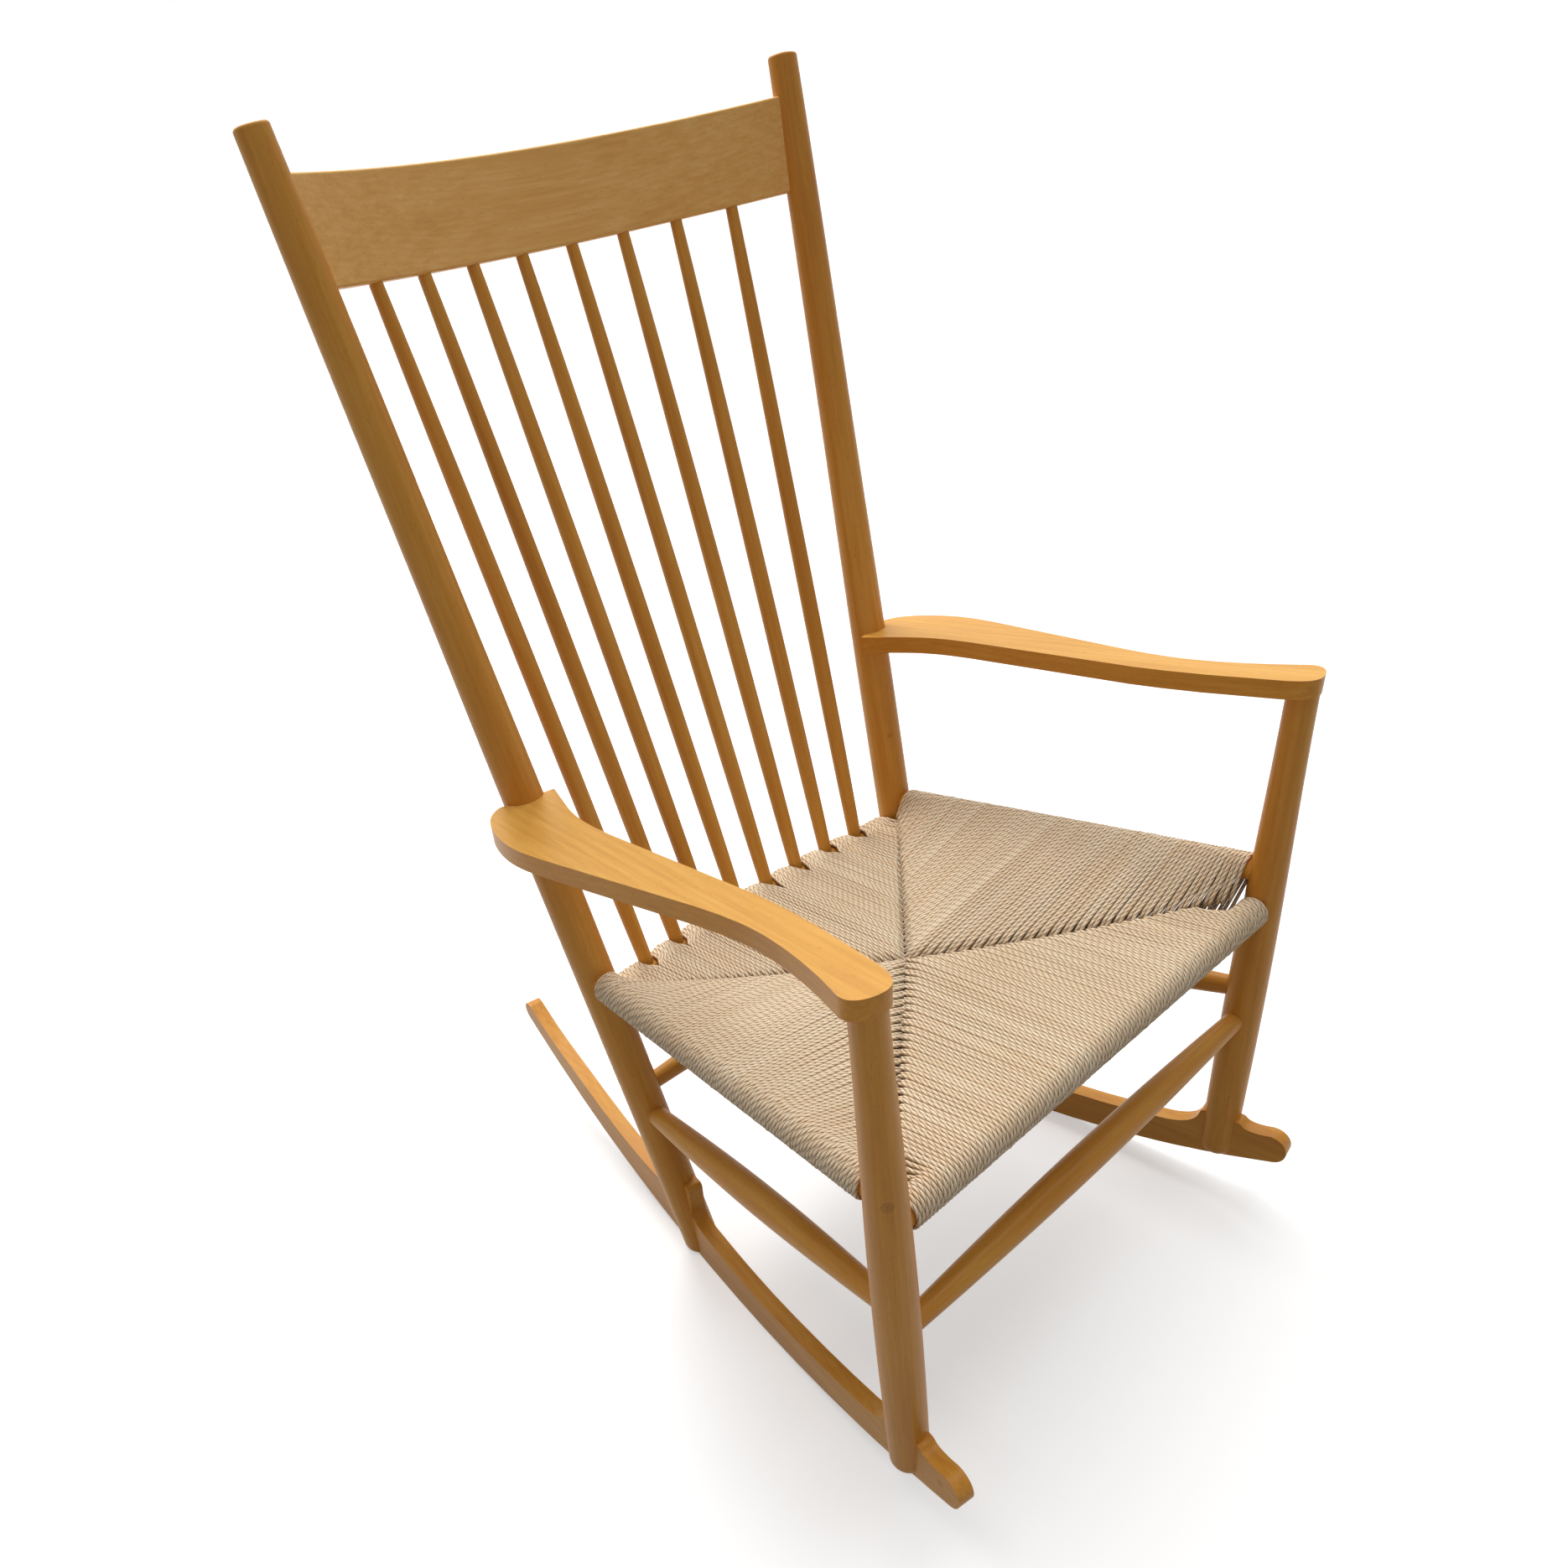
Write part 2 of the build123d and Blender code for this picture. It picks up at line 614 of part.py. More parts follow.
crest_slots = crest_blank(slot_gap)
for side, hand in ((1, "left"), (-1, "right")):
    leg_cuts = foot_slot(side, board_length, horn_height)
    under_arm = Pos(0, 0, -cope_gap) * arm_blank(side)
    leg = (leg_blank(side) - leg_cuts - under_arm) & above_sole(side)
    nodes["front_leg_" + hand] = leg + leg_tenon(side)
    post = (post_blank(side) - foot_slot(side, 0, tab_height)) & above_sole(side)
    nodes["rear_post_" + hand] = post
    socket("rear_post_" + hand, crest_slots, arm_dowel(side, socket_gap))
    nodes["rocker_" + hand] = rocker(side)
    arm = arm_blank(side) - post_blank(side, cope_gap)
    nodes["arm_" + hand] = arm
    socket("arm_" + hand, leg_tenon(side, socket_gap), arm_dowel(side, socket_gap))
    nodes["arm_dowel_" + hand] = arm_dowel(side)

front_half = front_rail_ends[1].X - leg_radius(front_rail_z) - cord_gap
rear_half = rear_rail_ends[1].X - post_radius(rear_rail_z) - cord_gap
front_points = [Vector(s * front_half, front_rail_ends[1].Y, front_rail_z) for s in (-1, 1)]
nodes["seat_cord_front"] = straight_panel(*front_points)
nodes["seat_cord_rear"] = rear_panel(rear_half)
for side, hand in ((1, "left"), (-1, "right")):
    front, rear = side_rail_ends[side]
    start = toward(front, rear, leg_radius(side_rail_front_z) + bare_rail_front)
    end = toward(rear, front, post_radius(side_rail_rear_z) + cord_gap)
    nodes["seat_cord_" + hand] = straight_panel(start, end)
wood = [straight_rail(*front_rail_ends, cord_gap), bowed_bar(rear_rail_ends[1].X, rail_radius + cord_gap)]
for side in (1, -1):
    wood += [straight_rail(*side_rail_ends[side], cord_gap), leg_blank(side, cord_gap),
             post_blank(side, cord_gap)]
for name in ("front", "rear", "left", "right"):
    socket("seat_cord_" + name, *wood)
socket("seat_cord_rear", *[spindle_passage(n) for n in spindles])

os.makedirs("parts", exist_ok=True)
for name, solid in nodes.items():
    for tool in cuts.get(name, []):
        solid = solid - tool
    export_step(solid, "parts/%s.step" % name)
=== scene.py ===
"""Looks of a wooden rocking chair with a woven cord seat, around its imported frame."""
import bpy
import math
import numpy as np
from mathutils import Matrix, Vector


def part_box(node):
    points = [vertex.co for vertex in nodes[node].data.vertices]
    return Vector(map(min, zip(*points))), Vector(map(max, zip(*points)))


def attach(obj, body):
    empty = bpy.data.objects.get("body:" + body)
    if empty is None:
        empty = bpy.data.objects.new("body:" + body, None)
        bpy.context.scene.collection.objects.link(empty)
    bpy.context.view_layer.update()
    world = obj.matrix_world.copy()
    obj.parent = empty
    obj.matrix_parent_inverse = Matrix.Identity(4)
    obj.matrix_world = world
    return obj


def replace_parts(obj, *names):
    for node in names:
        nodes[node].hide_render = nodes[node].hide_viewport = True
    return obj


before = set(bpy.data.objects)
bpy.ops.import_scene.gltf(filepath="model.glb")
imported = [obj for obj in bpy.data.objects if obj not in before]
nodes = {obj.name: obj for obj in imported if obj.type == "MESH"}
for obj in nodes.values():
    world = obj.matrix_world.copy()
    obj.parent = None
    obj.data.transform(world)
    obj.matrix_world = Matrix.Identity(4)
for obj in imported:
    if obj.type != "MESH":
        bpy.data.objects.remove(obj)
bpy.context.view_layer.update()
rng = np.random.default_rng(7)


# ---------------------------------------------------------------- node helpers
class Nodes:
    """The node tree of a material or a world, with short calls to add and join nodes."""

    def __init__(self, owner, kind):
        self.owner = owner
        owner.use_nodes = True
        self.tree = owner.node_tree
        self.tree.nodes.clear()
        self.output = self.tree.nodes.new("ShaderNodeOutput" + kind)

    def node(self, kind, settings=None, **inputs):
        node = self.tree.nodes.new("ShaderNode" + kind)
        for key, value in (settings or {}).items():
            setattr(node, key, value)
        for key, value in inputs.items():
            self.put(node, key.replace("_", " "), value)
        return node

    def put(self, node, key, value):
        socket = node.inputs[key]
        if isinstance(value, bpy.types.NodeSocket):
            self.tree.links.new(value, socket)
        else:
            socket.default_value = value

    def math(self, operation, a, b=0.0, clamp=False):
        node = self.node("Math", {"operation": operation, "use_clamp": clamp})
        self.put(node, 0, a)
        self.put(node, 1, b)
        return node.outputs[0]

    def mix(self, factor, a, b, blend="MIX"):
        """Colour between a and b; the colour sockets of the node are 6, 7 and output 2."""
        node = self.node("Mix", {"data_type": "RGBA", "blend_type": blend})
        self.put(node, 0, factor)
        self.put(node, 6, a)
        self.put(node, 7, b)
        return node.outputs[2]

    def noise(self, vector, scale, detail=3.0, roughness=0.5, distortion=0.0):
        node = self.node("TexNoise", Vector=vector, Scale=scale, Detail=detail, Roughness=roughness,
                         Distortion=distortion)
        return node.outputs["Fac"]

    def drawn_out(self, vector, share):
        """Coordinates in which a pattern is 1 / share times as long along Z."""
        return self.node("Mapping", Vector=vector, Scale=(1.0, 1.0, share)).outputs[0]

    def ramp(self, value, *stops):
        """Colour ramp; each stop is (position, (r, g, b)) or (position, grey)."""
        node = self.tree.nodes.new("ShaderNodeValToRGB")
        self.put(node, 0, value)
        elements = node.color_ramp.elements
        while len(elements) < len(stops):
            elements.new(0.5)
        for element, (position, colour) in zip(elements, stops):
            element.position = position
            rgb = colour if isinstance(colour, tuple) else (colour,) * 3
            element.color = (*rgb, 1.0)
        return node.outputs[0]

    def bump(self, height, distance, strength):
        return self.node("Bump", Height=height, Distance=distance, Strength=strength).outputs[0]

    def seen(self):
        """1 on rays that come from the camera, a gloss or a pane, and 0 on all others."""
        ray = self.node("LightPath").outputs
        direct = self.math("ADD", ray["Is Camera Ray"], ray["Is Glossy Ray"])
        return self.math("ADD", direct, ray["Is Transmission Ray"], clamp=True)

    def show(self, shader):
        self.tree.links.new(shader.outputs[0], self.output.inputs[0])
        return self.owner

    def show_either(self, factor, a, b):
        """Shader a where the factor is 0, shader b where it is 1."""
        node = self.node("MixShader")
        self.put(node, 0, factor)
        self.put(node, 1, a.outputs[0])
        self.put(node, 2, b.outputs[0])
        return self.show(node)

    def finish(self, **inputs):
        return self.show(self.node("BsdfPrincipled", **inputs))


def surface(name):
    return Nodes(bpy.data.materials.new(name), "Material")


def link(obj):
    bpy.context.scene.collection.objects.link(obj)
    return obj


def linear(r, g, b):
    """Linear colour of an 8-bit display colour."""
    return tuple(((c / 255 + 0.055) / 1.055) ** 2.4 if c > 10 else c / 3294.6 for c in (r, g, b))


# ---------------------------------------------------------------- wood
WOOD_LIGHT = linear(226, 165, 76)
WOOD_MID = linear(213, 147, 58)
WOOD_DARK = linear(194, 126, 44)
PORE = linear(140, 88, 34)
KNOT = linear(116, 70, 24)
PLAIN = (1.0, 1.0, 1.0)
STREAKY = 0.6                   # usual weight of the broad streaks
SEED_STEP = (0.37, 0.59, 0.83)  # way in metres from one stick's pattern to the next one's
LONG, WAVY, SHORT = 0.045, 0.14, 0.16       # how each pattern is drawn out along the grain
BROAD_SCALE, STREAK_SCALE, FINE_SCALE = 26.0, 190.0, 900.0      # all scales are per metre
RING_SCALE, PORE_SCALE, SPARSE_SCALE, RAGGED_SCALE = 62.0, 520.0, 210.0, 420.0
RING_SHARE, FINE_SHARE, PORE_SHARE, KNOT_SHARE = 0.12, 0.18, 0.45, 0.6
PORE_DEPTH = 0.00012


def wood(name, start, end, seed, knots=(), tint_and_light=PLAIN, painted_top_light=PLAIN, streaky=STREAKY):
    """Lacquered beech with its grain along start-end: broad streaks, ring lines and short pores.

    tint multiplies the colour everywhere: the board's own colour, and on the crest rail also painted light
    that brightens it. top multiplies it on faces that look up: painted light from above, lighter and
    yellower. streaky is the weight of the broad streaks.
    """
    s = surface(name)
    turn = (Vector(end) - Vector(start)).to_track_quat("Z", "Y").to_euler()
    place = s.node("TexCoord").outputs["Object"]
    local = s.node("Mapping", {"vector_type": "TEXTURE"}, Vector=place, Location=tuple(start),
                   Rotation=tuple(turn)).outputs[0]
    shift = tuple(seed * step for step in SEED_STEP)
    shifted = s.node("Mapping", Vector=local, Location=shift).outputs[0]
    long = s.drawn_out(shifted, LONG)
    short = s.drawn_out(shifted, SHORT)
    broad = s.noise(s.drawn_out(shifted, WAVY), BROAD_SCALE, 2.0, 0.5)
    streak = s.noise(long, STREAK_SCALE, 4.0, 0.62, 0.25)
    fine = s.noise(long, FINE_SCALE, 2.0, 0.6)
    rings = s.node("TexWave", {"wave_type": "RINGS", "rings_direction": "Z"}, Vector=long,
                   Scale=RING_SCALE, Distortion=2.4, Detail=2.0, Detail_Scale=1.2).outputs["Fac"]
    broad = s.math("ADD", s.math("MULTIPLY", broad, streaky), (STREAKY - streaky) / 2)
    colour = s.ramp(s.math("ADD", broad, s.math("MULTIPLY", streak, 0.5)),
                    (0.34, WOOD_DARK), (0.54, WOOD_MID), (0.74, WOOD_LIGHT))
    ring = s.math("MULTIPLY", s.ramp(rings, (0.5, 0.0), (0.95, 1.0)), RING_SHARE)
    colour = s.mix(ring, colour, (*WOOD_DARK, 1.0))
    thread = s.math("MULTIPLY", s.ramp(fine, (0.46, 0.0), (0.72, 1.0)), FINE_SHARE)
    colour = s.mix(thread, colour, (*WOOD_DARK, 1.0))
    pores = s.node("TexVoronoi", {"feature": "F1"}, Vector=short, Scale=PORE_SCALE,
                   Randomness=1.0).outputs["Distance"]
    sparse = s.ramp(s.noise(short, SPARSE_SCALE, 1.0), (0.42, 0.0), (0.6, 1.0))
    speck = s.math("MULTIPLY", s.ramp(pores, (0.05, 1.0), (0.24, 0.0)), sparse)
    colour = s.mix(s.math("MULTIPLY", speck, PORE_SHARE), colour, (*PORE, 1.0))
    for knot, radius in knots:
        away = s.node("VectorMath", {"operation": "DISTANCE"})
        s.put(away, 0, place)
        s.put(away, 1, knot)
        ragged = s.math("MULTIPLY", s.noise(place, RAGGED_SCALE), radius * 0.5)
        share = s.math("DIVIDE", s.math("ADD", away.outputs["Value"], ragged), radius)
        spot = s.ramp(share, (0.3, 1.0), (0.55, 0.35), (0.8, 0.6), (1.0, 0.0))
        colour = s.mix(s.math("MULTIPLY", spot, KNOT_SHARE), colour, (*KNOT, 1.0))
    # painted light: faces that look up are multiplied lighter and yellower, as if lit from above
    upward = s.node("SeparateXYZ", Vector=s.node("NewGeometry").outputs["Normal"]).outputs[2]
    tint_with_top_light = s.mix(s.ramp(upward, (0.55, 0.0), (0.95, 1.0)), (*tint_and_light, 1.0), (*painted_top_light, 1.0))
    colour = s.mix(1.0, colour, tint_with_top_light, "MULTIPLY")
    rough = s.math("ADD", 0.34, s.math("MULTIPLY", streak, 0.14))
    height = s.math("SUBTRACT", s.math("MULTIPLY", fine, 0.25), speck)
    return s.finish(Base_Color=colour, Roughness=rough, Normal=s.bump(height, PORE_DEPTH, 0.5),
                    Specular_IOR_Level=0.18, Coat_Weight=0.05, Coat_Roughness=0.2)


CREASE = math.radians(38.0)         # edges above this angle stay crisp
FLAT = math.radians(2.0)            # faces within this angle are joined before rounding
ROUNDED_EDGE = math.radians(40.0)   # edges above this angle are rounded
ROUNDING_STEPS = 5
ARM_ROUND = 0.0045
ROCKER_ROUND = 0.0055


def shade(obj, material):
    """Smooth shading with crisp edges, and one material."""
    obj.data.materials.clear()
    obj.data.materials.append(material)
    obj.data.shade_smooth()
    obj.data.set_sharp_from_angle(angle=CREASE)


def rounded(obj, width):
    """Round the sharp edges of a CAD node, whose flat faces are joined first for an even rounding."""
    flat = obj.modifiers.new("flat", "DECIMATE")
    flat.decimate_type = "DISSOLVE"
    flat.angle_limit = FLAT
    bevel = obj.modifiers.new("round", "BEVEL")
    bevel.width = width
    bevel.segments = ROUNDING_STEPS
    bevel.limit_method = "ANGLE"
    bevel.angle_limit = ROUNDED_EDGE
    bevel.use_clamp_overlap = False
    normals = obj.modifiers.new("normals", "WEIGHTED_NORMAL")
    normals.keep_sharp = False


# grain direction of each stick: a point and a second one further along, in metres
STICKS = {
    "rear_post": ((0.2045, 0.038, 0.042), (0.2764, 0.2965, 1.088)),
    "front_leg": ((0.2663, -0.334, 0.045), (0.2945, -0.318, 0.597)),
    "arm": ((0.2945, -0.318, 0.606), (0.2395, 0.164, 0.541)),
    "rocker": ((0.2045, 0.038, 0.06), (0.2663, -0.334, 0.06)),
    "seat_rail": ((0.28, -0.32, 0.409), (0.225, 0.11, 0.351)),
    "stretcher": ((0.278, -0.327, 0.268), (0.214, 0.074, 0.187)),
    "arm_dowel": ((0.24, 0.1, 0.53), (0.24, 0.2, 0.53)),
}
# small knots that show on the sticks: the place in metres and the radius
KNOTS = {
    "front_leg_right": (((-0.2983, -0.3375, 0.414), 0.0090),),
    "rear_post_left": (((0.2236, 0.1181, 0.436), 0.0045),),
    "arm_right": (((-0.3000, 0.0960, 0.550), 0.0040),),
    "rocker_right": (((-0.2828, -0.3820, 0.082), 0.0060),),
}
# boards paler than the sticks, partly in their own colour and partly by painted light: lighter tops and a
# brighter crest rail
PALER_AND_PAINTED_LIGHT = {
    "arm": {"tint_and_light": (1.04, 1.02, 0.95), "painted_top_light": (1.06, 1.22, 1.6), "streaky": 0.28},
    "crest_rail": {"tint_and_light": (1.34, 1.67, 3.3), "painted_top_light": (1.5, 2.0, 4.5), "streaky": 0.2},
}
CROSSWISE = "crest_rail", "seat_rail_front", "seat_rail_rear", "stretcher_front", "stretcher_rear"
SPINDLE_COUNT = 8
SPINDLE_FOOT_HALF = 0.1595      # from the middle to the outermost spindle, on the rear rail
SPINDLE_HEAD_HALF = 0.2008      # the same, on the crest rail

seed = 0
for stick, (start, end) in STICKS.items():
    for side, hand in ((1, "left"), (-1, "right")):
        seed += 1
        name = stick + "_" + hand
        a = (start[0] * side, start[1], start[2])
        b = (end[0] * side, end[1], end[2])
        beech = wood("beech_" + name, a, b, seed, KNOTS.get(name, ()), **PALER_AND_PAINTED_LIGHT.get(stick, {}))
        shade(nodes[name], beech)
for number in range(1, SPINDLE_COUNT + 1):
    seed += 1
    low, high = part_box("back_spindle_%d" % number)
    lean = (2 * number - SPINDLE_COUNT - 1) / (SPINDLE_COUNT - 1)
    a = (SPINDLE_FOOT_HALF * lean, low.y, low.z)
    b = (SPINDLE_HEAD_HALF * lean, high.y, high.z)
    shade(nodes["back_spindle_%d" % number], wood("beech_spindle_%d" % number, a, b, seed))
for name in CROSSWISE:
    seed += 1
    low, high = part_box(name)
    middle = (low + high) / 2
    ends = (low.x, middle.y, middle.z), (high.x, middle.y, middle.z)
    shade(nodes[name], wood("beech_" + name, *ends, seed, **PALER_AND_PAINTED_LIGHT.get(name, {})))
for hand in ("left", "right"):
    rounded(nodes["arm_" + hand], ARM_ROUND)
    rounded(nodes["rocker_" + hand], ROCKER_ROUND)

steel = surface("tack_steel").finish(Base_Color=(0.5, 0.5, 0.52, 1.0), Metallic=1.0, Roughness=0.3)
shade(nodes["cord_tacks"], steel)


# ---------------------------------------------------------------- cord
CORD = 0.00204          # radius of the cord
PLIES = 3
LAY = 0.023             # length of one full turn of its plies
RAIL = 0.012            # radius of a seat rail
SIDES = 8               # of a cord's section
CORD_PALE = linear(252, 236, 208)
CORD_BROWN = linear(236, 206, 166)
# painted shade: colour of the shade in the ply grooves and between neighbouring strands
CORD_SHADE = linear(130, 86, 48)
# weights of the random fibre darkening, of the painted shade on the flanks and of the painted shade in the
# ply grooves
FIBRE_SHARE, FLANK_SHADE_SHARE, GROOVE_SHADE_SHARE = 0.25, 0.35, 0.8
PLY_HEIGHT = 0.0009


def cord_material():
    """Twisted paper cord: plies wound round each other, matte, each strand a little different.

    The plies' height is |sin(plies pi turn)|^0.6 with turn = along / lay - around, and shade is painted
    into the cord's colour in the grooves between them and low on its flanks, where it meets its neighbours.
    """
    s = surface("paper_cord")
    uv = s.node("UVMap", {"uv_map": "strand"}).outputs[0]
    part = s.node("SeparateXYZ", Vector=uv)
    along, around = part.outputs[0], part.outputs[1]
    turn = s.math("SUBTRACT", s.math("MULTIPLY", along, 1 / LAY), around)
    wave = s.math("ABSOLUTE", s.math("SINE", s.math("MULTIPLY", turn, math.pi * PLIES)))
    ply = s.math("POWER", wave, 0.6)
    tone = s.node("Attribute", {"attribute_name": "tone"}).outputs["Fac"]
    patch = s.noise(s.node("TexCoord").outputs["Object"], 14.0, 3.0)
    drift = s.node("CombineXYZ", X=s.math("MULTIPLY", along, 260.0), Y=s.math("MULTIPLY", turn, 9.0),
                   Z=s.math("MULTIPLY", tone, 37.0)).outputs[0]
    fibre = s.noise(drift, 3.0, 3.0)
    beside = s.math("ABSOLUTE", s.math("COSINE", s.math("MULTIPLY", around, math.pi * 2)))
    mixed = s.math("ADD", s.math("MULTIPLY", tone, 0.6), s.math("MULTIPLY", patch, 0.4))
    colour = s.mix(s.ramp(mixed, (0.2, 0.0), (0.8, 1.0)), (*CORD_BROWN, 1.0), (*CORD_PALE, 1.0))
    darker = s.math("MULTIPLY", s.ramp(fibre, (0.35, 1.0), (0.7, 0.0)), FIBRE_SHARE)
    colour = s.mix(darker, colour, (*CORD_BROWN, 1.0))
    # painted shade on the strand's flanks, where neighbouring strands touch
    flank_shade = s.math("MULTIPLY", s.ramp(beside, (0.8, 0.0), (1.0, 1.0)), FLANK_SHADE_SHARE)
    colour = s.mix(flank_shade, colour, (*CORD_SHADE, 1.0))
    # painted shade in the grooves between the plies
    groove_shade = s.math("MULTIPLY", s.ramp(ply, (0.0, 1.0), (0.32, 0.85), (0.54, 0.0)), GROOVE_SHADE_SHARE)
    colour = s.mix(groove_shade, colour, (*CORD_SHADE, 1.0))
    bump = s.bump(s.math("ADD", ply, s.math("MULTIPLY", fibre, 0.12)), PLY_HEIGHT, 1.0)
    return s.finish(Base_Color=colour, Roughness=0.78, Normal=bump, Specular_IOR_Level=0.3,
                    Sheen_Weight=0.1)


cord = cord_material()


def strands(name, path, lateral, tones):
    """Round cords along many paths at once, as one closed mesh.

    path[i, j] is point j of strand i and lateral[i] the way across it.  With t the unit tangent,
    b = lateral made square to t and n = t x b, a vertex is path + r (cos(a) b + sin(a) n) for
    SIDES angles a; both ends are closed by a cap.  The map holds the length run along the strand,
    from a random start, and the share of a turn round it.
    """
    count, length = path.shape[:2]
    t = np.gradient(path, axis=1)
    t /= np.linalg.norm(t, axis=2, keepdims=True)
    b = lateral[:, None, :] - (lateral[:, None, :] * t).sum(2, keepdims=True) * t
    b /= np.linalg.norm(b, axis=2, keepdims=True)
    n = np.cross(t, b)
    angle = np.arange(SIDES) * 2 * math.pi / SIDES
    cosine, sine = np.cos(angle)[:, None], np.sin(angle)[:, None]
    ring = CORD * (cosine * b[:, :, None, :] + sine * n[:, :, None, :])
    verts = (path[:, :, None, :] + ring).reshape(-1, 3)
    i, j, k = np.meshgrid(np.arange(count), np.arange(length - 1), np.arange(SIDES), indexing="ij")
    base = (i * length + j) * SIDES
    after = (k + 1) % SIDES
    quads = np.stack([base + k, base + after, base + SIDES + after, base + SIDES + k], -1)
    first = np.arange(count)[:, None] * length * SIDES + np.arange(SIDES)[::-1]
    last = (np.arange(count)[:, None] * length + length - 1) * SIDES + np.arange(SIDES)
    mesh = bpy.data.meshes.new(name)
    mesh.from_pydata(verts, [], quads.reshape(-1, 4).tolist() + first.tolist() + last.tolist())
    steps = np.linalg.norm(np.diff(path, axis=1), axis=2)
    run = np.concatenate([np.zeros((count, 1)), steps.cumsum(1)], 1)
    run += rng.uniform(0, 1, (count, 1))
    u = np.stack([run[i, j], run[i, j], run[i, j + 1], run[i, j + 1]], -1)
    v = np.stack([k, k + 1, k + 1, k], -1) / SIDES
    caps = np.zeros((2 * count * SIDES, 2))
    uv = np.concatenate([np.stack([u, v], -1).reshape(-1, 2), caps])
    layer = mesh.uv_layers.new(name="strand")
    layer.data.foreach_set("uv", uv.astype(np.float32).ravel())
    tone = mesh.attributes.new("tone", "FLOAT", "POINT")
    tone.data.foreach_set("value", np.repeat(tones, length * SIDES).astype(np.float32))
    mesh.shade_smooth()
    mesh.materials.append(cord)
    obj = link(bpy.data.objects.new(name, mesh))
    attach(obj, "root")
    return obj


LEAD_POINTS, ARC_POINTS, UNDER_POINTS = 15, 17, 7   # over the seat, round the rail and below
TUCK = 0.0042           # how far a strand's upper end dips into its seam
TUCK_SHARES = 1.0, 0.12  # of that dip, at the strand's first two points
LIFT = 0.003            # how far its lower end rises


def loop_path(foot, inward, reach, rise, low, radius):
    """Path of each strand from its seam over the rail and back below, and its points on the seat.

    In the upright plane through the rail's axis point foot, with d along inward and z up, the cord
    leaves the upper seam point (reach, rise), touches the circle of the given radius, goes round
    its outer side and returns to the lower seam point (reach, low).  A point (d, z) at the distance
    D from the axis has its tangent points at the angles atan2(z, d) +- acos(radius / D).
    """
    def tangent(height, side):
        distance = np.hypot(reach, height)
        return np.arctan2(height, reach) + side * np.arccos(np.clip(radius / distance, -1, 1))

    upper = tangent(rise, 1)
    lower = tangent(low, -1) + 2 * math.pi
    angle = upper[:, None] + (lower - upper)[:, None] * np.linspace(0, 1, ARC_POINTS)
    arc = radius[:, None, None] * np.stack([np.cos(angle), np.sin(angle)], -1)
    lead = np.linspace(0, 1, LEAD_POINTS)[:-1]
    back = np.linspace(0, 1, UNDER_POINTS)[:-1]
    seam_top = np.stack([reach, rise], -1)[:, None, :]
    seam_low = np.stack([reach, low], -1)[:, None, :]
    over = seam_top + (arc[:, :1] - seam_top) * lead[None, :, None]
    under = seam_low + (arc[:, -1:] - seam_low) * back[None, :, None]
    flat = np.concatenate([over, arc, under[:, ::-1]], 1)
    flat[:, :2, 1] -= TUCK * np.array(TUCK_SHARES)
    flat[:, -1, 1] += LIFT
    points = foot[:, None, :] + flat[:, :, :1] * inward[:, None, :]
    points[:, :, 2] += flat[:, :, 1]
    return points, lead.size


SEAT_MIDDLE = np.array([0.0, -0.099, 0.3545])
CORNER_FRONT = np.array([0.2800, -0.3240, 0.3890])
CORNER_REAR = np.array([0.2240, 0.1060, 0.3440])
SIDE_START = np.array([0.2849, -0.3233, 0.4090])    # of the left rail's axis
SIDE_END = np.array([0.2257, 0.1144, 0.3510])
FRONT_Y, FRONT_Z, FRONT_HALF, FRONT_PITCH = -0.3243, 0.372, 0.2629, 0.0044
REAR_Y, REAR_Z, REAR_HALF, REAR_PITCH = 0.1067, 0.320, 0.2015, 0.0043
REAR_BOW = 0.015            # how far the rear rail bends back in its middle
REAR_CLEAR_HALF = 0.2035    # from the middle to the rear posts
SPINDLES = np.linspace(-SPINDLE_FOOT_HALF, SPINDLE_FOOT_HALF, SPINDLE_COUNT)
UNDER = 0.022               # depth of the seat at its middle
SEAM_SAG = 0.006
LEAST_REACH = 0.0155        # of a strand, from the rail's axis to its seam
OPEN_REACH = 0.0150         # of the strands that hang straight down behind the front legs
SIDE_SHARES = 0.047, 0.948, 98      # first and last strand along a side rail, and their number


def seam_at(share, corner):
    """Point of a seam, from the corner (0) to the middle (1); it sags by a sine on its way."""
    way = corner + (SEAT_MIDDLE - corner) * share[:, None]
    way[:, 2] -= SEAM_SAG * np.sin(math.pi * share)
    return way


def tones(count):
    return np.clip(rng.normal(0.6, 0.13, count), 0, 1)


def uneven(count, amount):
    """Small smooth steps from strand to strand: the mean of five draws, 1.6 times as strong."""
    raw = rng.normal(0, amount, count + 4)
    return np.convolve(raw, np.ones(5) / 5, "valid") * 1.6


def laced(count):
    """How far each strand's end runs past its seam: neighbours take turns."""
    return np.where(np.arange(count) % 2, 0.0014, -0.0016)


def wound(count):
    """Radius of the turn round the rail, a little over the rail's and the cord's own."""
    return RAIL + CORD + np.abs(rng.normal(0, 0.0002, count))


def wander(path, lead, across, upward):
    """Let each strand stray by half a sine over the seat, along axis across and then upward."""
    swell = np.sin(np.linspace(0, math.pi, lead))
    path[:, :lead, across] += uneven(len(path), 0.0004)[:, None] * swell
    path[:, :lead, 2] += uneven(len(path), upward)[:, None] * swell


